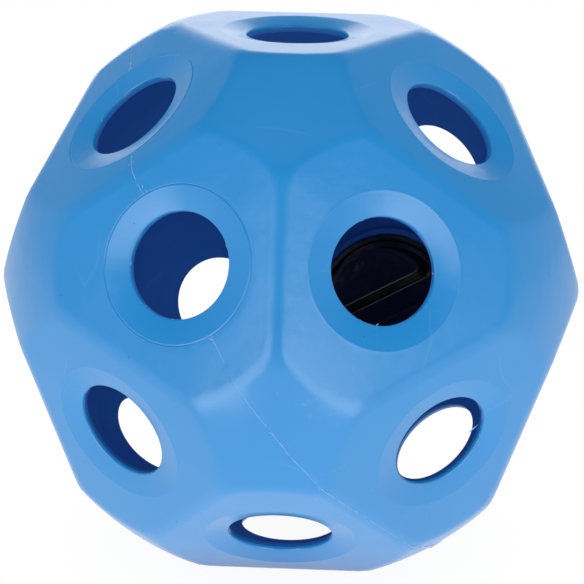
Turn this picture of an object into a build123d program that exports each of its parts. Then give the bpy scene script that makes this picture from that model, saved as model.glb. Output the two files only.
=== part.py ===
from build123d import *

import os
from math import atan, degrees, isclose, radians, sqrt, tan

os.makedirs("parts", exist_ok=True)

# Feeding ball: a hollow sphere with twenty flats, a dished hole in nineteen of them and a turn-in lid in the
# twentieth. It stands on one flat, whose centre is the origin. All lengths are in millimetres.

# Ball, with each flat lying a little below the round of the sphere
ball_diameter = 400.0
flat_drop = 19.6
shell_wall = 5.0
edge_round = 18.0

# Feed holes
hole_diameter = 70.0
dish_diameter = 100.0
dish_depth = 2.6

# Filling neck, a short tube that runs inwards from its flat, with a 45 degree seat at its mouth
neck_bore = 110.4
neck_wall = 5.0
neck_depth = 10.4
neck_chamfer = 1.5
seat_depth = 4.0

# Lid
lid_gap = 0.4
lid_plate = 4.0
skirt_length = 8.4
skirt_wall = 3.6

# Finger cups of the lid, measured at their backs, and the grip bar between them
cup_back_diameter = 87.0
cup_depth = 20.4
cup_wall = 2.8
cup_corner = 5.0
cup_draft = 6.4
cup_chamfer = 1.2
bar_gap = 20.8
bar_lean = -32.7

# How far a cutting shape runs past the face that it cuts
overrun = 10.0

# Sizes that follow from the ones above
ball_radius = ball_diameter / 2
flat_distance = ball_radius - flat_drop
ball_centre = Vector(0, 0, flat_distance)
dish_slope = degrees(atan(dish_depth / ((dish_diameter - hole_diameter) / 2)))
dish_tip = dish_diameter / 2 * tan(radians(dish_slope))
seat_angle = 90
seat_diameter = neck_bore + 2 * seat_depth
skirt_diameter = neck_bore - 2 * lid_gap

# Directions of the twenty flats. They are the corners of a dodecahedron, turned about X so that one flat faces
# straight down.
golden_share = (1 + sqrt(5)) / 2
rest_turn = degrees(atan(golden_share**2))
signs = (-1, 1)


def turned(x, y, z):
    """Unit direction of a flat, in the frame of the standing ball."""
    return Vector(x, y, z).normalized().rotate(Axis.X, rest_turn)


def flat_directions():
    """Outward directions of all twenty flats."""
    directions = [turned(a, b, c) for a in signs for b in signs for c in signs]
    for a in signs:
        for b in signs:
            directions.append(turned(0, a * golden_share, b / golden_share))
            directions.append(turned(a / golden_share, 0, b * golden_share))
            directions.append(turned(a * golden_share, b / golden_share, 0))
    return directions


lid_direction = turned(1 / golden_share, 0, -golden_share)
all_directions = flat_directions()
feed_directions = [d for d in all_directions if not isclose(d.dot(lid_direction), 1)]


def flat_plane(direction, distance):
    """Plane of a flat, with its Z axis pointing out of the ball."""
    return Plane(origin=ball_centre + direction * distance, z_dir=direction)


def faceted_ball(radius, distance):
    """Sphere cut by the twenty flats."""
    with BuildPart() as form:
        with Locations(ball_centre):
            Sphere(radius)
        for direction in all_directions:
            split(bisect_by=flat_plane(direction, distance), keep=Keep.BOTTOM)
    return form.part


# Plane of the lid: its flat, with X along the grip bar
level = Vector(-lid_direction.Y, lid_direction.X, 0)
lid_centre = ball_centre + lid_direction * flat_distance
lid_axis = Axis(lid_centre, lid_direction)
lid_plane = Plane(origin=lid_centre, x_dir=level.rotate(lid_axis, bar_lean), z_dir=lid_direction)

# Hollow of the ball, which follows the flats and dishes one wall further in
inner_distance = flat_distance - shell_wall
with BuildPart() as hollow:
    add(faceted_ball(ball_radius - shell_wall, inner_distance))
    with Locations(*[flat_plane(d, inner_distance) for d in feed_directions]):
        Cone(
            bottom_radius=0,
            top_radius=dish_diameter / 2,
            height=dish_tip,
            align=(Align.CENTER, Align.CENTER, Align.MAX),
            mode=Mode.SUBTRACT,
        )

# Filling neck
with BuildPart() as neck:
    with Locations(lid_plane.offset(-shell_wall / 2)):
        Cylinder(
            radius=neck_bore / 2 + neck_wall,
            height=neck_depth - shell_wall / 2,
            align=(Align.CENTER, Align.CENTER, Align.MAX),
        )
    with Locations(lid_plane):
        Hole(radius=neck_bore / 2, depth=neck_depth + overrun)
    neck_end = neck.faces().filter_by(lid_plane).sort_by(lid_axis)[0]
    chamfer(neck_end.edges(), neck_chamfer)

# Ball shell with its feed holes and filling neck
with BuildPart() as ball_shell:
    add(faceted_ball(ball_radius, flat_distance))
    fillet(ball_shell.edges(), edge_round)
    with Locations(*[flat_plane(d, flat_distance) for d in feed_directions]):
        CounterSinkHole(
            radius=hole_diameter / 2,
            counter_sink_radius=dish_diameter / 2,
            depth=shell_wall + dish_tip + overrun,
            counter_sink_angle=2 * (90 - dish_slope),
        )
    add(hollow.part, mode=Mode.SUBTRACT)
    add(neck.part)
    with Locations(lid_plane):
        CounterSinkHole(
            radius=neck_bore / 2,
            counter_sink_radius=seat_diameter / 2,
            depth=neck_depth + overrun,
            counter_sink_angle=seat_angle,
        )
ball_shell.part.label = "ball_shell"
export_step(ball_shell.part, "parts/ball_shell.step")


def cup_outline(plane, radius, half_gap):
    """Two D shapes on a plane, back to back, with the grip bar's gap between their straight sides."""
    with BuildSketch(plane) as outline:
        Circle(radius)
        Rectangle(2 * radius, 2 * half_gap, mode=Mode.SUBTRACT)
        fillet(outline.vertices(), cup_corner)
    return outline.sketch


# Lid: a plate with a tapered rim and a short skirt, and two finger cups that hang from it
with BuildPart() as filler_lid:
    rim_radius = seat_diameter / 2 - lid_gap
    skirt_radius = skirt_diameter / 2
    with BuildSketch(Plane(lid_plane.origin, x_dir=lid_plane.x_dir, z_dir=-lid_plane.y_dir)) as section:
        with BuildLine():
            Polyline(
                (0, 0),
                (rim_radius, 0),
                (skirt_radius, -seat_depth),
                (skirt_radius, -skirt_length),
                (skirt_radius - skirt_wall, -skirt_length),
                (skirt_radius - skirt_wall, -lid_plate),
                (0, -lid_plate),
                close=True,
            )
        make_face()
    revolve(axis=lid_axis)
    cup_backs = cup_outline(lid_plane.offset(-cup_depth), cup_back_diameter / 2, bar_gap / 2)
    extrude(cup_backs, amount=cup_depth - lid_plate / 2, taper=-cup_draft)
    pocket_depth = cup_depth - cup_wall
    pocket_floors = cup_outline(
        lid_plane.offset(-pocket_depth), cup_back_diameter / 2 - cup_wall, bar_gap / 2 + cup_wall
    )
    extrude(pocket_floors, amount=pocket_depth + overrun, taper=-cup_draft, mode=Mode.SUBTRACT)
    level_faces = filler_lid.faces().filter_by(lid_plane).group_by(lid_axis)
    cup_back_faces = level_faces[0]
    chamfer(cup_back_faces.edges(), cup_chamfer)
filler_lid.part.label = "filler_lid"
export_step(filler_lid.part, "parts/filler_lid.step")
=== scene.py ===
import math
import random

import bmesh
import bpy
import numpy as np
from mathutils import Matrix, Vector, noise


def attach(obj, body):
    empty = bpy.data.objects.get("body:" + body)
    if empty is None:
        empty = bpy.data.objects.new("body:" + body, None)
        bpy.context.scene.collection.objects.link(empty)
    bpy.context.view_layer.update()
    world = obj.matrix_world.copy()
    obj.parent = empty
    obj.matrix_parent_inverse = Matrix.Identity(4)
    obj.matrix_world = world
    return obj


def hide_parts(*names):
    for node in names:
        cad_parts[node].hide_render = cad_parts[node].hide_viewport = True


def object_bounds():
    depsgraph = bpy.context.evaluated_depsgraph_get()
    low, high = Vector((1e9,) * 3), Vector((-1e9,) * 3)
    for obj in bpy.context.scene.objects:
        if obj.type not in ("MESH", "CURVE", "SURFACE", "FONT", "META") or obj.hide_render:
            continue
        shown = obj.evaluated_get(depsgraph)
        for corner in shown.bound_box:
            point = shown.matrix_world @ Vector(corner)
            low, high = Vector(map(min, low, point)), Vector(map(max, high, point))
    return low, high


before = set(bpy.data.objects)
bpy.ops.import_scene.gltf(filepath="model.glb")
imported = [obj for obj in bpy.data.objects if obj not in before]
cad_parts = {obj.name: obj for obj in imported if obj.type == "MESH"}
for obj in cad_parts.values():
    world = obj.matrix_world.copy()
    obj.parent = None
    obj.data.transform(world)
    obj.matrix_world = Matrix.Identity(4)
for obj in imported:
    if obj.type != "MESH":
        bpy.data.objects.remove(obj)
cad_low, cad_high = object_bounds()

# Ball, in metres. It stands on one flat, so its height is the distance from flat to flat.
BALL_RADIUS = 0.1997
FLAT_DISTANCE = (cad_high[2] - cad_low[2]) / 2
SHELL_WALL = 0.005
EDGE_ROUND = 0.0205
BALL_CENTRE = np.array([0.0, 0.0, FLAT_DISTANCE])

# Swell of the flats towards their middles, which the top and bottom ones and the lid's don't have
CROWN = 0.0013

# The core of the ball: its sphere and flats, moved in by the rounding of the edges
CORE_RADIUS = BALL_RADIUS - EDGE_ROUND
CORE_FLAT = FLAT_DISTANCE - EDGE_ROUND
CORE_RIM = math.sqrt(CORE_RADIUS**2 - CORE_FLAT**2)

# Feed holes, each in a shallow dish. Down to the lit depth under its lip, the wall of a hole is finished
# like the outside; below it, its blue is painted darker as shade.
HOLE_RADIUS = 0.0339
DISH_RADIUS = 0.05
DISH_DEPTH = 0.0035
LIP_ROUND = 0.0014
LIT_DEPTH = 0.0024
INNER_LIP_ROUND = 0.0004
DISH_ROUND = 0.012
DISH_MARGIN = 0.0062

# Border of a dish: a low bead, and on the parting line a fine groove with a soft shoulder as well
BEAD_HEIGHT = 0.00009
BEAD_HALF_WIDTH = 0.0012
BEAD_ROUND = 0.003
GROOVE_DEPTH = 0.00045
GROOVE_HALF_WIDTH = 0.0005
CRISP_ROUND = 0.0002
SHOULDER_ROUND = 0.0012

# Filling neck
NECK_BORE_RADIUS = 0.0552
NECK_WALL = 0.005
NECK_DEPTH = 0.0104
SEAT_DEPTH = 0.004
SEAT_RADIUS = NECK_BORE_RADIUS + SEAT_DEPTH
NECK_ROUND = 0.0015
NECK_FOOT = 0.0018
SEAT_ROUND = 0.0005

# Lid
LID_GAP = 0.0004
LID_PLATE = 0.004
SKIRT_LENGTH = 0.0084
SKIRT_WALL = 0.0036
SKIRT_RADIUS = NECK_BORE_RADIUS - LID_GAP
RIM_RADIUS = SEAT_RADIUS - LID_GAP
CUP_BACK_RADIUS = 0.0435
CUP_DEPTH = 0.0204
CUP_WALL = 0.0028
CUP_CORNER = 0.005
CUP_DRAFT = math.radians(6.4)
BAR_HALF_GAP = 0.0104
BAR_LEAN = math.radians(-32.7)
CUP_CORNER_STEPS = 7
CUP_ARC_STEPS = 40

# Roundings of the lid, and the level strips that its profiles keep beside them
RIM_ROUND = 0.0008
SKIRT_ROUND = 0.0006
SKIRT_ROOT_ROUND = 0.0012
BOSS_ROUND = 0.0018
BOSS_ROOT_ROUND = 0.0014
POCKET_ROUND = 0.0012
POCKET_FLOOR_ROUND = 0.0015
PLATE_STRIP = 0.003
FLOOR_STRIP = 0.0018
BOSS_STRIP = 0.0035
POCKET_STRIP = 0.0016

# Screw thread of the lid's skirt and of the neck
THREAD_PITCH = 0.0026
THREAD_DEPTH = 0.001
THREAD_STEP = 0.0003
THREAD_END = 0.0009
THREAD_STEEPNESS = 2
THREAD_LAND = 0.5

# Flash along the mould's parting line, with one tall ragged stretch. Swing and dip are shares of its
# height, and the crest's values are shares of its half width and height. A greater fineness means shorter
# waves.
FLASH_SIDES = 4
FLASH_HALF_WIDTH = 0.0003
FLASH_HEIGHT = 0.00026
FLASH_SINK = 0.0002
FLASH_SWING = 3.2
FLASH_DIP = 1.1
FLASH_FINENESS = 160
FLASH_WOBBLE = 0.0005
WOBBLE_FINENESS = 120
CREST_WIDTH = 0.25
CREST_FALL = 0.2
FLASH_STEP = math.radians(0.4)
FLASH_FADE = math.radians(1)
FIN_ANGLE = math.radians(72)
FIN_HALF_LENGTH = math.radians(7)
FIN_HEIGHT = 0.0019
FIN_FINENESS = 330

# Flakes beside the flash. Slenderness is a sliver's length over its width, and flatness its length over its
# lift. The ridge stands up by a share of the width.
FLAKE_SEED = 11
FLAKE_CLUSTERS = 34
FLAKES_PER_CLUSTER = 5
CLUSTER_LENGTH = 0.006
FLAKE_LENGTH = (0.0008, 0.0034)
FLAKE_SPREAD = 0.0009
FLAKE_LEAN = 0.9
FLAKE_SLENDERNESS = 5
SLIVER_FLATNESS = 12
SLIVER_RIDGE = 0.25

# Burrs that the trimming left on the lips of the feed holes. They sink by a share of the lip's rounding.
BURR_SEED = 5
BURRS_PER_HOLE = 3
BURR_LENGTH = (0.0015, 0.004)
BURR_SINK = (0.4, 1.0)
BURR_ROOT = 0.0002
BURR_SLENDERNESS = 7

# Torn strands that stand in three of the holes. A flat is given by its azimuth and elevation, root and tip
# by the turn round the hole in degrees, the distance in from its wall and the depth under its flat.
STRANDS = (
    {"flat": (37.8, -19.5), "root": (12, -0.0005, 0.0074), "tip": (-1, 0.0075, 0.0072), "width": 0.0017},
    {"flat": (22.2, 19.5), "root": (324, -0.0005, 0.0037), "tip": (327, 0.0014, 0.003), "width": 0.0007},
    {"flat": (22.2, 19.5), "root": (60, -0.0005, 0.0037), "tip": (62, 0.0016, 0.0034), "width": 0.0006},
    {"flat": (0, 90), "root": (14, -0.0005, 0.0035), "tip": (17, 0.0012, 0.003), "width": 0.0008},
)

# Mesh density: sides of every ring, and steps over a rounded corner, a cap, an edge and a level stretch
SIDES_AROUND = 78
RING_ANGLES = np.arange(SIDES_AROUND) * (2 * math.pi / SIDES_AROUND)
CORNER_STEPS = 4
OUTER_STEPS = {"cap": 7, "edge": 6, "level": 5}
INNER_STEPS = {"cap": 3, "edge": 3, "level": 2}
WELD_DISTANCE = 0.00002

# Search for the rounded surface: how far out of the core it starts, in offsets, and how often it is halved
SEARCH_REACH = 1.5
SEARCH_HALVINGS = 36

# Finishes of the shell's faces and of the flash's, in the order of their material slots
# Shell finishes: the outside, the inside with its darker blue painted as shade, and the deepest painted
# shade
OUTSIDE, PAINTED_SHADE_INSIDE, PAINTED_DEEP_SHADE = range(3)
# The torn finish paints the light that shines through the thin torn flash as a near-white blue
LOW_FLASH, TORN_PAINTED_LIGHT = range(2)


# Directions of the flats

GOLDEN_RATIO = (1 + math.sqrt(5)) / 2
REST_TURN = math.atan(GOLDEN_RATIO**2)
HALF_EDGE_ANGLE = math.asin(2 / 3) / 2

# Cosines that tell two directions that agree, and one that lies in the plane of the parting line
SAME_DIRECTION = 0.99
IN_SEAM_PLANE = 0.01


def unit(vectors):
    """The same vectors at length one."""
    return vectors / np.linalg.norm(vectors, axis=-1, keepdims=True)


def standing(x, y, z):
    """Unit direction in the frame of the standing ball, from dodecahedron axes."""
    along, up = math.cos(REST_TURN), math.sin(REST_TURN)
    return unit(np.array([x, y * along - z * up, y * up + z * along]))


def flat_directions():
    """Outward directions of the twenty flats."""
    signs = (-1, 1)
    directions = [standing(a, b, c) for a in signs for b in signs for c in signs]
    for a in signs:
        for b in signs:
            directions.append(standing(0, a * GOLDEN_RATIO, b / GOLDEN_RATIO))
            directions.append(standing(a / GOLDEN_RATIO, 0, b * GOLDEN_RATIO))
            directions.append(standing(a * GOLDEN_RATIO, b / GOLDEN_RATIO, 0))
    return np.array(directions)


FLATS = flat_directions()
LID_DIRECTION = standing(1 / GOLDEN_RATIO, 0, -GOLDEN_RATIO)
SEAM_NORMAL = standing(GOLDEN_RATIO, 1, 1 / GOLDEN_RATIO)


def carries_lid(direction):
    """Whether a flat is the lid's."""
    return direction @ LID_DIRECTION > SAME_DIRECTION


def stands_level(direction):
    """Whether a flat is the one on top or the one underneath."""
    return abs(direction[2]) > SAME_DIRECTION


def on_seam(direction):
    """Whether the mould's parting line crosses the middle of a flat."""
    return abs(direction @ SEAM_NORMAL) < IN_SEAM_PLANE


def flat_axes(direction):
    """Axes of a flat as the rows of a matrix: towards a neighbouring flat, across, and outward."""
    nearness = FLATS @ direction
    neighbour = FLATS[np.argsort(nearness)[-2]]
    towards = unit(neighbour - direction * (neighbour @ direction))
    return np.array([towards, np.cross(direction, towards), direction])


def from_ball(azimuth, elevation):
    """Direction from the ball, with azimuth 0 to the front and positive to the right, in degrees."""
    turn = math.radians(azimuth)
    rise = math.radians(elevation)
    return Vector((math.sin(turn) * math.cos(rise), -math.cos(turn) * math.cos(rise), math.sin(rise)))


# Rounded surface of the ball


def core_distance(points):
    """Distance from points outside the core to the core, which is a sphere cut by the flats."""
    order = np.argsort(points @ FLATS.T, axis=1)
    first = FLATS[order[:, -1]]
    second = FLATS[order[:, -2]]
    height = np.sum(points * first, axis=1, keepdims=True)
    on_flat = points - (height - CORE_FLAT) * first
    on_sphere = unit(points) * CORE_RADIUS
    on_rim = first * CORE_FLAT + unit(points - height * first) * CORE_RIM
    cosine = np.sum(first * second, axis=1, keepdims=True)
    edge_middle = (first + second) * (CORE_FLAT / (1 + cosine))
    along = unit(np.cross(first, second))
    slide = np.sum(points * along, axis=1, keepdims=True)
    on_edge = edge_middle + slide * along
    half_edge = np.sqrt(np.maximum(CORE_RADIUS**2 - np.sum(edge_middle**2, axis=1, keepdims=True), 0))
    on_corner = edge_middle + np.sign(slide) * half_edge * along
    nearest = np.full(len(points), np.inf)
    slack = 1e-8
    for spot in (on_flat, on_sphere, on_rim, on_edge, on_corner):
        inside = np.sum(spot * first, axis=1) <= CORE_FLAT + slack
        inside &= np.sum(spot * second, axis=1) <= CORE_FLAT + slack
        inside &= np.linalg.norm(spot, axis=1) <= CORE_RADIUS + slack
        gap = np.linalg.norm(points - spot, axis=1)
        nearest = np.where(inside, np.minimum(nearest, gap), nearest)
    return nearest


def surface_radius(directions, offset):
    """How far from the centre the surface lies that is a set offset away from the core."""
    low = np.minimum(CORE_RADIUS, CORE_FLAT / np.max(directions @ FLATS.T, axis=1))
    high = low + SEARCH_REACH * offset
    for _ in range(SEARCH_HALVINGS):
        middle = (low + high) / 2
        outside = core_distance(directions * middle[:, None]) > offset
        high = np.where(outside, middle, high)
        low = np.where(outside, low, middle)
    return (low + high) / 2


# Outlines and profiles


def rounded_profile(corners):
    """Points of a profile whose corners are given as (across, up, radius), with the corners rounded."""
    spots = np.array([corner[:2] for corner in corners])
    points = [spots[0]]
    for i in range(1, len(corners) - 1):
        radius = corners[i][2]
        back = unit(spots[i - 1] - spots[i])
        ahead = unit(spots[i + 1] - spots[i])
        half_opening = math.acos(max(-1.0, min(1.0, back @ ahead))) / 2
        if radius <= 0:
            points.append(spots[i])
            continue
        trim = radius / math.tan(half_opening)
        centre = spots[i] + unit(back + ahead) * (radius / math.sin(half_opening))
        start = spots[i] + back * trim - centre
        end = spots[i] + ahead * trim - centre
        sweep = math.pi - 2 * half_opening
        for step in range(CORNER_STEPS + 1):
            share = step / CORNER_STEPS
            mix = math.sin((1 - share) * sweep) * start + math.sin(share * sweep) * end
            points.append(centre + mix / math.sin(sweep))
    points.append(spots[-1])
    return np.array(points)


def circle_ring(radius, up):
    """Ring of points round a flat's axis."""
    radius = np.broadcast_to(radius, RING_ANGLES.shape)
    up = np.broadcast_to(up, RING_ANGLES.shape)
    return np.stack([radius * np.cos(RING_ANGLES), radius * np.sin(RING_ANGLES), up], axis=1)


def from_nearest_edge(angles):
    """Cosine of the angle between directions on a flat and the nearest of its three straight edges."""
    third = 2 * math.pi / 3
    return np.cos((angles + third / 2) % third - third / 2)


def flat_reach(angles):
    """How far a flat stays level in each direction from its middle, before its rounded edge starts."""
    return np.minimum(CORE_FLAT * math.tan(HALF_EDGE_ANGLE) / from_nearest_edge(angles), CORE_RIM)


def facet_rings(offset, steps):
    """Rings of a flat's share of the caps and edges, from its border with the neighbours inwards.

    They are in the flat's own axes, on the surface that lies a set offset from the core.
    """
    plane = CORE_FLAT + offset
    border = plane * math.tan(HALF_EDGE_ANGLE) / from_nearest_edge(RING_ANGLES)
    flat_end = flat_reach(RING_ANGLES)
    cap_start = plane * CORE_RIM / CORE_FLAT
    round_end = np.minimum(cap_start, (flat_end + border) / 2)
    cap_shares = np.arange(steps["cap"]) / steps["cap"]
    edge_shares = np.arange(steps["edge"] + 1) / steps["edge"]
    reaches = [border + (round_end - border) * share for share in cap_shares]
    reaches += [round_end + (flat_end - round_end) * share for share in edge_shares]
    axes = flat_axes(FLATS[0])
    rings = []
    for reach in reaches:
        directions = unit(circle_ring(reach, plane)) @ axes
        rings.append((directions * surface_radius(directions, offset)[:, None]) @ axes.T)
    return rings


def level_rings(edge, steps):
    """Rings on the level part of a flat, between the ring where its rounded edge ends and its dish."""
    dish_side = circle_ring(DISH_RADIUS + DISH_MARGIN, edge[0][2])
    return [edge + (dish_side - edge) * (i / steps["level"]) for i in range(1, steps["level"])]


def crown_lift(points, direction):
    """How far points over a flat are raised: most in its middle, and not at all past its rounded edge."""
    if carries_lid(direction) or stands_level(direction):
        return np.zeros(len(points))
    along, across = (points @ flat_axes(direction).T).T[:2]
    share = np.hypot(along, across) / flat_reach(np.arctan2(across, along))
    return CROWN * np.clip(1 - share**2, 0, None)


def profile_rings(corners):
    """Rings of a profile that is turned round a flat's axis. Heights are measured from the flat."""
    return [circle_ring(r, FLAT_DISTANCE + up) for r, up in rounded_profile(corners)]


def dish_edge(kind):
    """Corners of a dish's border. Level flats have it plain, so that nothing rises above them."""
    if kind == "plain":
        return [(DISH_RADIUS, 0, DISH_ROUND)]
    slope = DISH_DEPTH / (DISH_RADIUS - HOLE_RADIUS)
    foot = (DISH_RADIUS - BEAD_HALF_WIDTH, -slope * BEAD_HALF_WIDTH, BEAD_ROUND)
    outside = DISH_RADIUS + BEAD_HALF_WIDTH
    if kind == "beaded":
        return [(outside, 0, BEAD_ROUND), (DISH_RADIUS, BEAD_HEIGHT, BEAD_ROUND), foot]
    groove = (outside - GROOVE_HALF_WIDTH, -GROOVE_DEPTH, CRISP_ROUND)
    return [(outside, 0, CRISP_ROUND), groove, (DISH_RADIUS, BEAD_HEIGHT, SHOULDER_ROUND), foot]


def feed_hole_rings(kind):
    """Dish, hole and inner dish of a flat, from the outer face to the inner one."""
    return profile_rings(
        [(DISH_RADIUS + DISH_MARGIN, 0)]
        + dish_edge(kind)
        + [
            (HOLE_RADIUS, -DISH_DEPTH, LIP_ROUND),
            (HOLE_RADIUS, -DISH_DEPTH - LIT_DEPTH, 0),
            (HOLE_RADIUS, -DISH_DEPTH - SHELL_WALL, INNER_LIP_ROUND),
            (DISH_RADIUS, -SHELL_WALL, DISH_ROUND),
            (DISH_RADIUS + DISH_MARGIN, -SHELL_WALL),
        ]
    )


def thread_rings(crest, depth, top, bottom):
    """Radii and heights of a screw thread. A negative depth puts its grooves inside the crest."""
    turns = np.arange(SIDES_AROUND) / SIDES_AROUND
    rings = []
    for up in np.linspace(top, bottom, round((top - bottom) / THREAD_STEP)):
        wave = 1 - np.abs(2 * ((up / THREAD_PITCH + turns) % 1) - 1)
        groove = np.clip(THREAD_STEEPNESS * wave - THREAD_LAND, 0, 1)
        fade = np.clip(min(top - up, up - bottom) / THREAD_STEP, 0, 1)
        rings.append((crest + depth * groove * fade, up))
    return rings


def neck_rings():
    """Seat, threaded bore and outside of the filling neck, from the outer face to the inner one."""
    neck_radius = NECK_BORE_RADIUS + NECK_WALL
    mouth = rounded_profile(
        [
            (SEAT_RADIUS + 2 * SEAT_ROUND, 0),
            (SEAT_RADIUS, 0, SEAT_ROUND),
            (NECK_BORE_RADIUS, -SEAT_DEPTH, SEAT_ROUND),
            (NECK_BORE_RADIUS, -SEAT_DEPTH - THREAD_END),
        ]
    )
    tube = rounded_profile(
        [
            (NECK_BORE_RADIUS, -NECK_DEPTH + NECK_ROUND + THREAD_END),
            (NECK_BORE_RADIUS, -NECK_DEPTH, NECK_ROUND),
            (neck_radius, -NECK_DEPTH, NECK_ROUND),
            (neck_radius, -SHELL_WALL, NECK_ROUND),
            (neck_radius + NECK_FOOT, -SHELL_WALL),
        ]
    )
    thread = thread_rings(NECK_BORE_RADIUS, THREAD_DEPTH, mouth[-1][1], tube[0][1])
    return [circle_ring(radius, FLAT_DISTANCE + up) for radius, up in [*mouth[:-1], *thread, *tube[1:]]]


# Meshes


def linked_piece(name, mesh):
    """New object in the scene with a smooth-shaded mesh."""
    mesh.shade_smooth()
    piece = bpy.data.objects.new(name, mesh)
    bpy.context.scene.collection.objects.link(piece)
    return piece


def mesh_object(name, vertices, faces):
    """New object from points and faces in the frame of the standing ball."""
    mesh = bpy.data.meshes.new(name)
    mesh.from_pydata([tuple(v) for v in vertices], [], [tuple(f) for f in faces])
    mesh.update()
    return linked_piece(name, mesh)


def ring_faces(ring_count, sides, start=0):
    """Quads between rings of points that follow one another."""
    faces = []
    for ring in range(ring_count - 1):
        for side in range(sides):
            after = (side + 1) % sides
            low = start + ring * sides
            high = low + sides
            faces.append((low + side, low + after, high + after, high + side))
    return faces


def weld(piece, distance=WELD_DISTANCE):
    """Joins points that lie together and turns all faces outward."""
    form = bmesh.new()
    form.from_mesh(piece.data)
    bmesh.ops.remove_doubles(form, verts=form.verts, dist=distance)
    bmesh.ops.recalc_face_normals(form, faces=form.faces)
    form.to_mesh(piece.data)
    form.free()


# Ball shell


def flat_kind(direction):
    """What a flat carries: the neck, or a dish with a plain border, a beaded one or a grooved one."""
    if carries_lid(direction):
        return "neck"
    if stands_level(direction):
        return "plain"
    return "grooved" if on_seam(direction) else "beaded"


def ring_finishes(kind, rings, wall):
    """Finishes of the faces that follow a flat's middle rings: outside, the hole's wall, then inside.
    Deeper down, the wall and the inside get darker blues painted as shade.
    """
    depths = [FLAT_DISTANCE - ring[0][2] for ring in rings]
    lip_depth = SHELL_WALL if kind == "neck" else DISH_DEPTH + (LIP_ROUND + LIT_DEPTH) / 2
    lip = next(number for number, depth in enumerate(depths) if depth >= lip_depth)
    end = len(rings) if kind == "neck" else depths.index(max(depths))
    return [OUTSIDE] * lip + [wall] * (end - lip) + [PAINTED_SHADE_INSIDE] * (len(rings) - end)


def build_shell():
    """Hollow ball: twenty flats with rounded edges, nineteen dished holes and the filling neck."""
    outer = facet_rings(EDGE_ROUND, OUTER_STEPS)
    inner = facet_rings(EDGE_ROUND - SHELL_WALL, INNER_STEPS)
    middles = {kind: feed_hole_rings(kind) for kind in ("plain", "beaded", "grooved")}
    middles["neck"] = neck_rings()
    vertices = []
    faces = []
    face_finishes = []
    for direction in FLATS:
        kind = flat_kind(direction)
        # Walls of holes in flats that face down get the deepest painted shade, the others the inside's
        # painted shade
        wall = PAINTED_DEEP_SHADE if direction[2] < 0 else PAINTED_SHADE_INSIDE
        outside = outer if kind == "neck" else outer + level_rings(outer[-1], OUTER_STEPS)
        inside = inner if kind == "neck" else inner + level_rings(inner[-1], INNER_STEPS)
        rings = outside + middles[kind] + inside[::-1]
        finishes = [OUTSIDE] * len(outside) + ring_finishes(kind, middles[kind], wall)
        finishes += [PAINTED_SHADE_INSIDE] * (len(inside) - 1)
        faces += ring_faces(len(rings), SIDES_AROUND, len(vertices))
        face_finishes += np.repeat(finishes, SIDES_AROUND).tolist()
        points = np.concatenate(rings) @ flat_axes(direction)
        vertices += list(points + crown_lift(points, direction)[:, None] * direction + BALL_CENTRE)
    shell = mesh_object("ball_skin", vertices, faces)
    shell.data.polygons.foreach_set("material_index", face_finishes)
    weld(shell)
    return shell


# Parting line


def seam_path():
    """Parting line of the mould all round the ball: angles, points, and forward and outward directions."""
    first = unit(np.cross(SEAM_NORMAL, [0, 0, 1]))
    second = np.cross(SEAM_NORMAL, first)
    angles = np.arange(0, 2 * math.pi, FLASH_STEP)
    directions = np.cos(angles)[:, None] * first + np.sin(angles)[:, None] * second
    points = directions * surface_radius(directions, EDGE_ROUND)[:, None]
    nearest = np.argmax(directions @ FLATS.T, axis=1)
    for number, flat in enumerate(FLATS):
        over = nearest == number
        points[over] += crown_lift(points[over], flat)[:, None] * flat
    ahead = unit(np.roll(points, -1, axis=0) - np.roll(points, 1, axis=0))
    return angles, points, ahead, np.cross(ahead, SEAM_NORMAL)


def clear_of_dishes(points):
    """Which points of the parting line lie outside the dishes and the lid."""
    clear = np.ones(len(points), bool)
    for flat in FLATS:
        if on_seam(flat):
            height = points @ flat
            reach = np.linalg.norm(points - height[:, None] * flat, axis=1)
            edge = SEAT_RADIUS if carries_lid(flat) else DISH_RADIUS
            clear &= (height < FLAT_DISTANCE / 2) | (reach > edge + BEAD_HALF_WIDTH)
    return clear


def seam_runs(clear):
    """Unbroken runs of the parting line, as lists of point numbers."""
    count = len(clear)
    start = int(np.flatnonzero(~clear)[0])
    runs = [[]]
    for number in [(start + i) % count for i in range(count)]:
        if clear[number]:
            runs[-1].append(number)
        elif runs[-1]:
            runs.append([])
    return [run for run in runs if run]


def rough(place, fineness):
    """Steady random value from 0 to 1 that changes smoothly from place to place."""
    return 0.5 + 0.5 * noise.noise(Vector(place) * fineness)


def flash_section(point, outward, angle, end_share):
    """Four points across the flash at one place of the parting line."""
    height = FLASH_HEIGHT * (FLASH_SWING * rough(point, FLASH_FINENESS) - FLASH_DIP) * end_share
    off_fin = abs(angle - FIN_ANGLE) / FIN_HALF_LENGTH
    height += FIN_HEIGHT * max(0, 1 - off_fin**2) * rough(point, FIN_FINENESS)
    middle = point + SEAM_NORMAL * FLASH_WOBBLE * (2 * rough(point, WOBBLE_FINENESS) - 1)
    foot = middle - outward * FLASH_SINK
    crest = middle + outward * height
    side = SEAM_NORMAL * FLASH_HALF_WIDTH
    far_crest = crest + CREST_WIDTH * side - CREST_FALL * outward * height
    return [foot - side, crest - CREST_WIDTH * side, far_crest, foot + side]


def sliver(middle, ahead, across, outward, length, width, lift):
    """Points and faces of a thin pointed flake that lies on a surface."""
    points = [
        middle - ahead * length / 2,
        middle - across * width / 2,
        middle + ahead * length / 2 + outward * lift,
        middle + across * width / 2,
        middle + outward * (lift + width * SLIVER_RIDGE),
    ]
    return points, [(0, 1, 4), (1, 2, 4), (2, 3, 4), (3, 0, 4), (3, 2, 1, 0)]


def gather(vertices, faces, more_vertices, more_faces):
    """Adds the points and faces of one more form to a mesh that is being gathered."""
    start = len(vertices)
    vertices += [vertex + BALL_CENTRE for vertex in more_vertices]
    faces += [[start + i for i in face] for face in more_faces]


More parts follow.
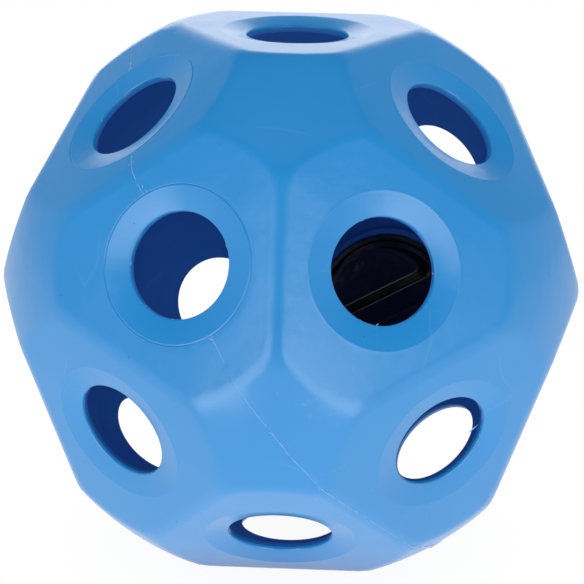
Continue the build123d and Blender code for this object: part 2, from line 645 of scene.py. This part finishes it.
def add_flash(vertices, faces, path, clear):
    """Adds the strips of flash to a mesh that is being gathered, and gives the finishes of their faces."""
    angles, points, _, outward = path
    fade_steps = FLASH_FADE / FLASH_STEP
    face_finishes = []
    for run in seam_runs(clear):
        strip = []
        for place, number in enumerate(run):
            end_share = min(1, (place + 1) / fade_steps, (len(run) - place) / fade_steps)
            strip += flash_section(points[number], outward[number], angles[number], end_share)
        numbers = list(range(len(strip)))
        caps = [numbers[:FLASH_SIDES], numbers[-FLASH_SIDES:][::-1]]
        gather(vertices, faces, strip, ring_faces(len(run), FLASH_SIDES) + caps)
        # The torn stretch takes the near-white finish, painted as light shining through it
        torn = np.abs(angles[run[:-1]] - FIN_ANGLE) < FIN_HALF_LENGTH
        face_finishes += np.repeat(np.where(torn, TORN_PAINTED_LIGHT, LOW_FLASH), FLASH_SIDES).tolist()
        face_finishes += [LOW_FLASH] * len(caps)
    return face_finishes


def add_flakes(vertices, faces, path, clear):
    """Adds clusters of ragged flakes, at the ends of the flash's strips and strewn along them."""
    _, points, ahead, outward = path
    dice = random.Random(FLAKE_SEED)
    runs = seam_runs(clear)
    kept = np.flatnonzero(clear)
    starts = [run[0] for run in runs] + [run[-1] for run in runs]
    starts += [kept[dice.randrange(len(kept))] for _ in range(FLAKE_CLUSTERS)]
    for start in np.repeat(starts, FLAKES_PER_CLUSTER):
        near = points[start] + ahead[start] * dice.uniform(-CLUSTER_LENGTH, CLUSTER_LENGTH)
        number = kept[np.argmin(np.linalg.norm(points[kept] - near, axis=1))]
        along = unit(ahead[number] + dice.uniform(-FLAKE_LEAN, FLAKE_LEAN) * SEAM_NORMAL)
        middle = points[number] + SEAM_NORMAL * dice.gauss(0, FLAKE_SPREAD)
        length = dice.uniform(*FLAKE_LENGTH)
        width = length / FLAKE_SLENDERNESS
        lift = length / SLIVER_FLATNESS
        out = outward[number]
        gather(vertices, faces, *sliver(middle, along, np.cross(out, along), out, length, width, lift))


def build_parting_line():
    """Flash that the mould's two halves left round the ball, with ragged flakes along it."""
    path = seam_path()
    clear = clear_of_dishes(path[1])
    vertices = []
    faces = []
    face_finishes = add_flash(vertices, faces, path, clear)
    add_flakes(vertices, faces, path, clear)
    face_finishes += [LOW_FLASH] * (len(faces) - len(face_finishes))
    line = mesh_object("parting_line", vertices, faces)
    line.data.polygons.foreach_set("material_index", face_finishes)
    weld(line, distance=0)
    line.data.shade_flat()
    return line


# Burrs and strands


def radial_direction(axes, turn):
    """Direction on a flat, turned from the first of its axes towards the second."""
    return math.cos(turn) * axes[0] + math.sin(turn) * axes[1]


def strand_sliver(flat, root, tip, width):
    """Torn strand that stands in a feed hole, from its root in the wall to its tip."""
    axes = flat_axes(FLATS[np.argmax(FLATS @ np.array(from_ball(*flat)))])
    outward = axes[2]
    ends = []
    for turn, inset, depth in (root, tip):
        radial = radial_direction(axes, math.radians(turn))
        ends.append(outward * (FLAT_DISTANCE - depth) + radial * (HOLE_RADIUS - inset))
    ahead = unit(ends[1] - ends[0])
    length = np.linalg.norm(ends[1] - ends[0])
    return sliver((ends[0] + ends[1]) / 2, ahead, np.cross(outward, ahead), outward, length, width, 0)


def build_burrs():
    """Slivers and torn strands that the trimming left on the lips of the feed holes."""
    vertices = []
    faces = []
    dice = random.Random(BURR_SEED)
    for direction in [flat for flat in FLATS if not carries_lid(flat)]:
        axes = flat_axes(direction)
        for _ in range(BURRS_PER_HOLE):
            radial = radial_direction(axes, dice.uniform(0, 2 * math.pi))
            along = np.cross(direction, radial)
            length = dice.uniform(*BURR_LENGTH)
            sink = DISH_DEPTH + dice.uniform(*BURR_SINK) * LIP_ROUND
            middle = direction * (FLAT_DISTANCE - sink) + radial * (HOLE_RADIUS + BURR_ROOT)
            middle = middle + direction * crown_lift(middle[None], direction)
            width = length / BURR_SLENDERNESS
            lift = length / SLIVER_FLATNESS
            gather(vertices, faces, *sliver(middle, along, direction, -radial, length, width, lift))
    for strand in STRANDS:
        gather(vertices, faces, *strand_sliver(**strand))
    burrs = mesh_object("trim_burrs", vertices, faces)
    weld(burrs, distance=0)
    burrs.data.shade_flat()
    return burrs


# Lid


def cup_outline(inset, mirrored):
    """D-shaped outline of a finger cup's back, moved in by an inset."""
    radius = CUP_BACK_RADIUS - inset
    half_gap = BAR_HALF_GAP + inset
    corner = CUP_CORNER - inset
    corner_x = math.sqrt((radius - corner) ** 2 - (half_gap + corner) ** 2)
    corner_y = half_gap + corner
    rise = math.atan2(corner_y, corner_x)
    points = [(-corner_x, half_gap), (corner_x, half_gap)]
    for angle in np.linspace(-math.pi / 2, rise, CUP_CORNER_STEPS + 1)[1:]:
        points.append((corner_x + corner * math.cos(angle), corner_y + corner * math.sin(angle)))
    for angle in np.linspace(rise, math.pi - rise, CUP_ARC_STEPS + 1)[1:]:
        points.append((radius * math.cos(angle), radius * math.sin(angle)))
    for angle in np.linspace(math.pi - rise, 1.5 * math.pi, CUP_CORNER_STEPS + 1)[1:-1]:
        points.append((-corner_x + corner * math.cos(angle), corner_y + corner * math.sin(angle)))
    turn = -1 if mirrored else 1
    return [(turn * x, turn * y) for x, y in points]


def add_loop(form, points, up):
    """Closed loop of new points at one height, with its edges."""
    verts = [form.verts.new((x, y, up)) for x, y in points]
    edges = [form.edges.new((verts[i], verts[(i + 1) % len(verts)])) for i in range(len(verts))]
    return verts, edges


def bridge(form, first, second):
    """Quads between two loops with as many points."""
    for i in range(len(first)):
        after = (i + 1) % len(first)
        form.faces.new((first[i], first[after], second[after], second[i]))


def bridge_loops(form, loops):
    """Quads between all loops that follow one another."""
    for near, far in zip(loops, loops[1:]):
        bridge(form, near[0], far[0])


def sweep_cup(form, profile, mirrored):
    """Sweeps a profile of (inset, up) round the D shape, and gives the edges of its open near end."""
    loops = [add_loop(form, cup_outline(inset, mirrored), up) for inset, up in profile]
    bridge_loops(form, loops)
    form.faces.new(loops[-1][0])
    return loops[0][1]


def lid_matrix():
    """Axes of the lid in the frame of the standing ball: along the grip bar, across it and outward."""
    outward = Vector(LID_DIRECTION)
    level = Vector((-outward.y, outward.x, 0)).normalized()
    along = Matrix.Rotation(BAR_LEAN, 3, outward) @ level
    across = outward.cross(along)
    axes = Matrix((along, across, outward)).transposed()
    return Matrix.Translation(Vector(BALL_CENTRE) + outward * FLAT_DISTANCE) @ axes.to_4x4()


def lid_rim():
    """Radii and heights of the lid's rim and threaded skirt, from its outer face to its inner one."""
    skirt_inside = SKIRT_RADIUS - SKIRT_WALL
    rim = rounded_profile(
        [
            (RIM_RADIUS - PLATE_STRIP, 0),
            (RIM_RADIUS, 0, RIM_ROUND),
            (SKIRT_RADIUS, -SEAT_DEPTH, SEAT_ROUND),
            (SKIRT_RADIUS, -SEAT_DEPTH - THREAD_END),
        ]
    )
    skirt_end = rounded_profile(
        [
            (SKIRT_RADIUS, -SKIRT_LENGTH + THREAD_END),
            (SKIRT_RADIUS, -SKIRT_LENGTH, SKIRT_ROUND),
            (skirt_inside, -SKIRT_LENGTH, SKIRT_ROUND),
            (skirt_inside, -LID_PLATE, SKIRT_ROOT_ROUND),
            (skirt_inside - FLOOR_STRIP, -LID_PLATE),
        ]
    )
    thread = thread_rings(SKIRT_RADIUS, -THREAD_DEPTH, rim[-1][1], skirt_end[0][1])
    return [*rim[:-1], *thread, *skirt_end[1:]]


def cup_boss():
    """Insets and heights of a finger cup's outside, from the lid's inner face to the back of the cup."""
    root = -(CUP_DEPTH - LID_PLATE) * math.tan(CUP_DRAFT)
    return rounded_profile(
        [
            (root - FLOOR_STRIP, -LID_PLATE),
            (root, -LID_PLATE, BOSS_ROOT_ROUND),
            (0, -CUP_DEPTH, BOSS_ROUND),
            (BOSS_STRIP, -CUP_DEPTH),
        ]
    )


def cup_pocket():
    """Insets and heights of a finger cup's inside, from the lid's outer face to the floor of the cup."""
    depth = CUP_DEPTH - CUP_WALL
    mouth = CUP_WALL - depth * math.tan(CUP_DRAFT)
    return rounded_profile(
        [
            (mouth - POCKET_STRIP, 0),
            (mouth, 0, POCKET_ROUND),
            (CUP_WALL, -depth, POCKET_FLOOR_ROUND),
            (CUP_WALL + FLOOR_STRIP, -depth),
        ]
    )


def build_lid():
    """Turn-in lid: a plate with a tapered rim and a skirt, and two finger cups with a grip bar between."""
    form = bmesh.new()
    rim_loops = [add_loop(form, circle_ring(radius, 0)[:, :2], up) for radius, up in lid_rim()]
    bridge_loops(form, rim_loops)
    top_edges = rim_loops[0][1]
    floor_edges = rim_loops[-1][1]
    for mirrored in (False, True):
        top_edges = top_edges + sweep_cup(form, cup_pocket(), mirrored)
        floor_edges = floor_edges + sweep_cup(form, cup_boss(), mirrored)
    for edges in (top_edges, floor_edges):
        bmesh.ops.triangle_fill(form, use_beauty=True, edges=edges)
    bmesh.ops.recalc_face_normals(form, faces=form.faces)
    mesh = bpy.data.meshes.new("turn_in_lid")
    form.to_mesh(mesh)
    form.free()
    mesh.transform(lid_matrix())
    lid = linked_piece("turn_in_lid", mesh)
    lid.modifiers.new("flat faces stay flat", "WEIGHTED_NORMAL").keep_sharp = True
    return lid


# Materials

# Skin of the plastic: depths of its grain and of its slow sway, and the detail of the noise behind them
GRAIN_DEPTH = 0.0002
SWAY_DEPTH = 0.004
SKIN_DETAIL = {"Mottle": 4.0, "Grain": 2.0}

# Marks of handling: scratches along the edges of bent cells, in patches, scuffs where two kinds of patches
# meet, and specks in the middles of a few cells
BEND_SCALE = 7.0
BEND_REACH = 0.09
HAIRLINE = (0.006, 0.001)
SCRATCHED = {"scale": 13.0, "detail": 2.0, "low": 0.52, "high": 0.62}
RUBBED = {"scale": 260.0, "detail": 6.0, "low": 0.66, "high": 0.74}
HANDLED = {"scale": 9.0, "detail": 3.0, "low": 0.6, "high": 0.68}
SPECK_EDGE = (0.11, 0.06)
SPECK_CHOICE = (0.955, 0.965)

# Order in which the marks lie over the colour, each with the names of its strength and its tint
MARK_LAYERS = (("Scratches", "scratch", "worn"), ("Scuffs", "scuff", "worn"), ("Specks", "speck", "dirt"))

# Finishes: colours, strengths of the marks, gloss, bumps, and the scales of the shared node groups
BLUE_SKIN = {
    "deep": (0.011, 0.25, 0.63),
    "pale": (0.013, 0.273, 0.68),
    "worn": (0.3, 0.55, 0.8),
    "dirt": (0.01, 0.07, 0.2),
    "scratch": 0.08,
    "scuff": 0.12,
    "speck": 0.7,
    "rough": (0.2, 0.27),
    "dulling": 0.15,
    "grain": 0.25,
    "sway": 0.3,
    "specular": 0.85,
    "skin": {"Mottle Scale": 14.0, "Grain Scale": 900.0},
    "marks": {"Scratch Scale": 11.0, "Speck Scale": 150.0},
}
# Inside of the shell and walls of holes below the lit depth: matte like the real inner skin, with a darker
# blue painted as the shade inside the ball
BLUE_INSIDE_PAINTED_SHADE = BLUE_SKIN | {
    "deep": (0.021, 0.17, 0.57),
    "pale": (0.025, 0.19, 0.62),
    "rough": (0.5, 0.6),
    "specular": 0.3,
    "grain": 0.5,
}
# Still darker copy, painted as deep shade on the walls of holes in flats that face down and on the filling
# neck inside the ball
BLUE_DEEP_PAINTED_SHADE = BLUE_INSIDE_PAINTED_SHADE | {
    "deep": (0.01, 0.09, 0.33),
    "pale": (0.012, 0.1, 0.38),
}
# Flash, flakes, burrs and strands: their own blue, mottled with paler tones painted as the light that
# shines through the thin plastic
BLUE_FLASH_PAINTED_LIGHT = BLUE_SKIN | {
    "deep": (0.05, 0.34, 0.7),
    "pale": (0.42, 0.67, 0.9),
    "rough": (0.35, 0.5),
    "skin": {"Mottle Scale": 160.0, "Grain Scale": 2500.0},
}
# Torn stretch of the flash: near white, painted as the light that shines through the thin torn plastic
PALE_PAINTED_LIGHT_FLASH = BLUE_FLASH_PAINTED_LIGHT | {
    "deep": (0.6, 0.75, 0.92),
    "pale": (0.88, 0.93, 0.97),
}
BLACK_LID = BLUE_SKIN | {
    "deep": (0.003, 0.003, 0.0031),
    "pale": (0.007, 0.007, 0.0072),
    "worn": (0.12, 0.12, 0.13),
    "dirt": (0.05, 0.05, 0.045),
    "rough": (0.1, 0.17),
    "specular": 0.5,
    "skin": {"Mottle Scale": 30.0, "Grain Scale": 1400.0},
    "marks": {"Scratch Scale": 24.0, "Speck Scale": 260.0},
}


def feed(tree, socket, value):
    """Links a socket to the one that a value comes from, or sets it to the value itself."""
    if isinstance(value, bpy.types.NodeSocket):
        tree.links.new(value, socket)
    else:
        socket.default_value = value


def worked_out(tree, operation, *values):
    """Result of a calculation."""
    calculation = tree.nodes.new("ShaderNodeMath")
    calculation.operation = operation
    for socket, value in zip(calculation.inputs, values):
        feed(tree, socket, value)
    return calculation.outputs["Value"]


def between(tree, value, low, high, start=0.0, end=1.0):
    """Runs from a start to an end while a value runs from low to high, and stays level beyond them."""
    ramp = tree.nodes.new("ShaderNodeMapRange")
    ramp.inputs["From Min"].default_value = low
    ramp.inputs["From Max"].default_value = high
    ramp.inputs["To Min"].default_value = start
    ramp.inputs["To Max"].default_value = end
    tree.links.new(value, ramp.inputs["Value"])
    return ramp.outputs["Result"]


def noise_over(tree, place, scale, detail):
    """Noise over the object, from 0 to 1."""
    cloud = tree.nodes.new("ShaderNodeTexNoise")
    feed(tree, cloud.inputs["Scale"], scale)
    feed(tree, cloud.inputs["Detail"], detail)
    tree.links.new(place, cloud.inputs["Vector"])
    return cloud.outputs["Fac"]


def patches(tree, place, scale, detail, low, high):
    """Mask of soft patches that are strewn over the object."""
    return between(tree, noise_over(tree, place, scale, detail), low, high)


def mixed(tree, factor, first, second):
    """Colour between two others."""
    mix = tree.nodes.new("ShaderNodeMix")
    mix.data_type = "RGBA"
    for label, value in (("Factor", factor), ("A", first), ("B", second)):
        feed(tree, mix.inputs[label], value)
    return mix.outputs["Result"]


def mixed_shaders(tree, factor, first, second):
    """Node of a shader between two others."""
    mix = tree.nodes.new("ShaderNodeMixShader")
    for socket, value in zip(mix.inputs, (factor, first.outputs[0], second.outputs[0])):
        tree.links.new(value, socket)
    return mix


def bumped(tree, height, strength, depth, below=None):
    """Normal of a bumped surface, which may have other bumps below."""
    bump = tree.nodes.new("ShaderNodeBump")
    bump.inputs["Strength"].default_value = strength
    bump.inputs["Distance"].default_value = depth
    tree.links.new(height, bump.inputs["Height"])
    if below is not None:
        tree.links.new(below, bump.inputs["Normal"])
    return bump.outputs["Normal"]


def new_group(name, inputs, outputs):
    """Shader node group with named number inputs, given with their values, and named number outputs."""
    group = bpy.data.node_groups.new(name, "ShaderNodeTree")
    for label, value in inputs.items():
        socket = group.interface.new_socket(label, in_out="INPUT", socket_type="NodeSocketFloat")
        socket.default_value = value
    for label in outputs:
        group.interface.new_socket(label, in_out="OUTPUT", socket_type="NodeSocketFloat")
    return group, group.nodes.new("NodeGroupInput"), group.nodes.new("NodeGroupOutput")


def moulded_skin_group():
    """Slow mottling and fine grain of a moulded plastic surface."""
    group, entry, out = new_group("moulded_skin", BLUE_SKIN["skin"], SKIN_DETAIL)
    place = group.nodes.new("ShaderNodeTexCoord").outputs["Object"]
    for label, detail in SKIN_DETAIL.items():
        cloud = noise_over(group, place, entry.outputs[f"{label} Scale"], detail)
        group.links.new(cloud, out.inputs[label])
    return group


def scratch_mask(group, place, scale):
    """Hairline scratches in long bent lines."""
    bend = group.nodes.new("ShaderNodeTexNoise")
    bend.inputs["Scale"].default_value = BEND_SCALE
    group.links.new(place, bend.inputs["Vector"])
    bent = group.nodes.new("ShaderNodeVectorMath")
    bent.operation = "MULTIPLY_ADD"
    for socket, value in zip(bent.inputs, (bend.outputs["Color"], [BEND_REACH] * 3, place)):
        feed(group, socket, value)
    cells = group.nodes.new("ShaderNodeTexVoronoi")
    cells.feature = "DISTANCE_TO_EDGE"
    group.links.new(bent.outputs["Vector"], cells.inputs["Vector"])
    group.links.new(scale, cells.inputs["Scale"])
    hairline = between(group, cells.outputs["Distance"], *HAIRLINE)
    return worked_out(group, "MULTIPLY", hairline, patches(group, place, **SCRATCHED))


def scuff_mask(group, place):
    """Small pale scuffs."""
    rubbed = patches(group, place, **RUBBED)
    return worked_out(group, "MULTIPLY", rubbed, patches(group, place, **HANDLED))


def speck_mask(group, place, scale):
    """Dark specks."""
    dots = group.nodes.new("ShaderNodeTexVoronoi")
    group.links.new(place, dots.inputs["Vector"])
    group.links.new(scale, dots.inputs["Scale"])
    draw = group.nodes.new("ShaderNodeSeparateColor")
    group.links.new(dots.outputs["Color"], draw.inputs["Color"])
    dot = between(group, dots.outputs["Distance"], *SPECK_EDGE)
    return worked_out(group, "MULTIPLY", dot, between(group, draw.outputs["Red"], *SPECK_CHOICE))


def handling_marks_group():
    """Marks of handling, each kind as a mask of its own."""
    group, entry, out = new_group("handling_marks", BLUE_SKIN["marks"], ("Scratches", "Scuffs", "Specks"))
    place = group.nodes.new("ShaderNodeTexCoord").outputs["Object"]
    scratches = scratch_mask(group, place, entry.outputs["Scratch Scale"])
    group.links.new(scratches, out.inputs["Scratches"])
    group.links.new(scuff_mask(group, place), out.inputs["Scuffs"])
    group.links.new(speck_mask(group, place, entry.outputs["Speck Scale"]), out.inputs["Specks"])
    return group


def place_group(tree, group, values):
    """Node of a shared group with its own input values."""
    node = tree.nodes.new("ShaderNodeGroup")
    node.node_tree = group
    for label, value in values.items():
        node.inputs[label].default_value = value
    return node


def plastic_material(name, groups, finish):
    """Moulded plastic whose colour, gloss and grain vary, with the marks of handling on it."""
    material = bpy.data.materials.new(name)
    material.use_nodes = True
    tree = material.node_tree
    surface = tree.nodes["Principled BSDF"]
    surface.inputs["Specular IOR Level"].default_value = finish["specular"]
    skin = place_group(tree, groups["skin"], finish["skin"])
    marks = place_group(tree, groups["marks"], finish["marks"])

    colour = mixed(tree, skin.outputs["Mottle"], (*finish["deep"], 1), (*finish["pale"], 1))
    for label, strength, tint in MARK_LAYERS:
        weight = worked_out(tree, "MULTIPLY", marks.outputs[label], finish[strength])
        colour = mixed(tree, weight, colour, (*finish[tint], 1))
    tree.links.new(colour, surface.inputs["Base Color"])

    gloss = between(tree, skin.outputs["Mottle"], 0, 1, *finish["rough"])
    dulled = worked_out(tree, "MULTIPLY_ADD", marks.outputs["Scuffs"], finish["dulling"], gloss)
    tree.links.new(dulled, surface.inputs["Roughness"])

    grain = bumped(tree, skin.outputs["Grain"], finish["grain"], GRAIN_DEPTH)
    sway = bumped(tree, skin.outputs["Mottle"], finish["sway"], SWAY_DEPTH, below=grain)
    tree.links.new(sway, surface.inputs["Normal"])
    return material


# Stage

# Floor, a round table top that starts to fade some way out and is gone at its edge
FLOOR_RADIUS = 0.19
FLOOR_FADE = 0.06
FLOOR_SIDES = 128
FLOOR_TONE = 0.94
FLOOR_GLOW = 0.94

# Brightness of the room by the upward share of a direction, from straight down to straight up
ROOM_LEVELS = (
    (-1.0, 1.0),
    (-0.35, 0.96),
    (-0.15, 0.82),
    (0.0, 0.52),
    (0.3, 0.44),
    (0.5, 0.24),
    (0.75, 0.05),
    (1.0, 0.05),
)

# Lamps: where they stand round the ball in degrees, their size and how bright they look
LAMP_DISTANCE = 2.4
LAMPS = {
    "softbox_left": {"azimuth": -29, "elevation": -3, "width": 1.17, "height": 2.3, "radiance": 1.75},
    "softbox_right": {"azimuth": 28.5, "elevation": -3, "width": 1.2, "height": 2.3, "radiance": 1.75},
    "back_panel": {"azimuth": 180, "elevation": 14, "width": 2.5, "height": 1.2, "radiance": 1.12},
    "overhead": {"azimuth": 0, "elevation": 89, "width": 3.0, "height": 3.0, "radiance": 1.32},
    "fill_left": {"azimuth": -100, "elevation": 32, "width": 1.5, "height": 1.5, "radiance": 1.4},
    "fill_right": {"azimuth": 100, "elevation": 32, "width": 1.5, "height": 1.5, "radiance": 1.4},
}
UNREFLECTED_LAMPS = ("overhead", "fill_left", "fill_right")


def floor_material():
    """Pale floor that looks white to the camera and in reflections, and keeps the ball's soft shadow."""
    material = bpy.data.materials.new("pale_floor")
    material.use_nodes = True
    tree = material.node_tree
    nodes = tree.nodes
    nodes.clear()
    matt = nodes.new("ShaderNodeBsdfDiffuse")
    matt.inputs["Color"].default_value = (FLOOR_TONE, FLOOR_TONE, FLOOR_TONE, 1)
    glow = nodes.new("ShaderNodeEmission")
    glow.inputs["Strength"].default_value = 1.0
    rays = nodes.new("ShaderNodeLightPath").outputs
    seen = worked_out(tree, "MAXIMUM", rays["Is Camera Ray"], rays["Is Glossy Ray"])
    seen = worked_out(tree, "MAXIMUM", seen, rays["Is Transmission Ray"])
    pale = mixed_shaders(tree, worked_out(tree, "MULTIPLY", seen, FLOOR_GLOW), matt, glow)
    reach = nodes.new("ShaderNodeVectorMath")
    reach.operation = "LENGTH"
    tree.links.new(nodes.new("ShaderNodeTexCoord").outputs["Object"], reach.inputs[0])
    faded = between(tree, reach.outputs["Value"], FLOOR_FADE, FLOOR_RADIUS)
    faded.node.interpolation_type = "SMOOTHSTEP"
    floor = mixed_shaders(tree, faded, pale, nodes.new("ShaderNodeBsdfTransparent"))
    out = nodes.new("ShaderNodeOutputMaterial")
    tree.links.new(floor.outputs[0], out.inputs["Surface"])
    return material


def build_floor():
    """Round pale table top under the ball, which fades out towards its edge."""
    turns = [2 * math.pi * i / FLOOR_SIDES for i in range(FLOOR_SIDES)]
    edge = [(FLOOR_RADIUS * math.cos(turn), FLOOR_RADIUS * math.sin(turn), 0) for turn in turns]
    floor = mesh_object("floor", edge, [range(FLOOR_SIDES)])
    floor.data.materials.append(floor_material())


def build_world():
    """Surroundings that are white to the camera, and light the ball from below more than from above."""
    world = bpy.data.worlds.new("studio_room")
    world.use_nodes = True
    tree = world.node_tree
    nodes = tree.nodes
    split = nodes.new("ShaderNodeSeparateXYZ")
    tree.links.new(nodes.new("ShaderNodeTexCoord").outputs["Generated"], split.inputs["Vector"])
    ramp = nodes.new("ShaderNodeValToRGB")
    ramp.color_ramp.interpolation = "EASE"
    tree.links.new(between(tree, split.outputs["Z"], -1, 1), ramp.inputs["Fac"])
    stops = ramp.color_ramp.elements
    for stop, (upward, level) in zip((stops[0], stops[1]), (ROOM_LEVELS[0], ROOM_LEVELS[-1])):
        stop.position = (upward + 1) / 2
        stop.color = (level, level, level, 1)
    for upward, level in ROOM_LEVELS[1:-1]:
        stops.new((upward + 1) / 2).color = (level, level, level, 1)
    rays = nodes.new("ShaderNodeLightPath").outputs
    seen = mixed(tree, rays["Is Camera Ray"], ramp.outputs["Color"], (1, 1, 1, 1))
    tree.links.new(seen, nodes["Background"].inputs["Color"])
    bpy.context.scene.world = world


def build_lamp(name, azimuth, elevation, width, height, radiance):
    """Soft rectangular lamp that faces the ball."""
    lamp = bpy.data.lights.new(name, "AREA")
    lamp.shape = "RECTANGLE"
    lamp.size = width
    lamp.size_y = height
    lamp.energy = radiance * math.pi * width * height
    holder = bpy.data.objects.new(name, lamp)
    away = from_ball(azimuth, elevation)
    holder.location = Vector(BALL_CENTRE) + away * LAMP_DISTANCE
    holder.rotation_euler = away.to_track_quat("Z", "Y").to_euler()
    holder.visible_camera = False
    bpy.context.scene.collection.objects.link(holder)
    return holder


def build_lamps():
    """Two tall softboxes beside the camera, a pale panel behind, and fills that reflections leave out."""
    for name, lamp in LAMPS.items():
        holder = build_lamp(name, **lamp)
        holder.visible_glossy = name not in UNREFLECTED_LAMPS


# Camera, at the photograph's viewing angle, with azimuth and elevation in degrees
CAMERA_AZIMUTH = 2.935
CAMERA_ELEVATION = 16.617
CAMERA_ROLL = math.radians(0.91)
CAMERA_DISTANCE = 1.6768
CAMERA_LENS_MM = 150.33
SENSOR_WIDTH_MM = 36
CAMERA_SHIFT = (-0.00244, -0.00615)


def camera_axes():
    """Right, up and backward directions of the camera."""
    back = from_ball(CAMERA_AZIMUTH, CAMERA_ELEVATION)
    level = from_ball(CAMERA_AZIMUTH + 90, 0)
    right = Matrix.Rotation(CAMERA_ROLL, 3, back) @ level
    return right, back.cross(right), back


def build_camera():
    """Camera whose axis runs through the middle of the ball."""
    data = bpy.data.cameras.new("camera")
    data.sensor_fit = "HORIZONTAL"
    data.sensor_width = SENSOR_WIDTH_MM
    data.lens = CAMERA_LENS_MM
    data.shift_x, data.shift_y = CAMERA_SHIFT
    camera = bpy.data.objects.new("camera", data)
    right, up, back = camera_axes()
    turn = Matrix((right, up, back)).transposed().to_4x4()
    camera.matrix_world = Matrix.Translation(Vector(BALL_CENTRE) + back * CAMERA_DISTANCE) @ turn
    bpy.context.scene.collection.objects.link(camera)
    bpy.context.scene.camera = camera


def build_ball():
    """The object itself, each piece on its body and with its finish."""
    groups = {"skin": moulded_skin_group(), "marks": handling_marks_group()}
    # Flash, flakes, burrs and strands share a blue whose paler tones are painted light shining through thin
    # plastic
    flash = plastic_material("blue_flash_painted_light", groups, BLUE_FLASH_PAINTED_LIGHT)
    shell = build_shell()
    shell.data.materials.append(plastic_material("blue_polyethylene", groups, BLUE_SKIN))
    # Darker blues of the inside and of the deep walls, painted as shade
    shell.data.materials.append(plastic_material("blue_polyethylene_inside_painted_shade", groups, BLUE_INSIDE_PAINTED_SHADE))
    shell.data.materials.append(plastic_material("blue_polyethylene_painted_deep_shade", groups, BLUE_DEEP_PAINTED_SHADE))
    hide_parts("ball_shell")
    parting_line = build_parting_line()
    parting_line.data.materials.append(flash)
    # Near-white finish of the torn stretch, painted as light shining through it
    parting_line.data.materials.append(plastic_material("torn_flash_painted_light", groups, PALE_PAINTED_LIGHT_FLASH))
    burrs = build_burrs()
    burrs.data.materials.append(flash)
    for piece in (shell, parting_line, burrs):
        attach(piece, "ball")
    lid = build_lid()
    lid.data.materials.append(plastic_material("black_plastic", groups, BLACK_LID))
    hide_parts("filler_lid")
    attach(lid, "lid")


build_ball()
build_floor()
build_world()
build_lamps()
build_camera()
bpy.context.scene.view_settings.view_transform = "Standard"
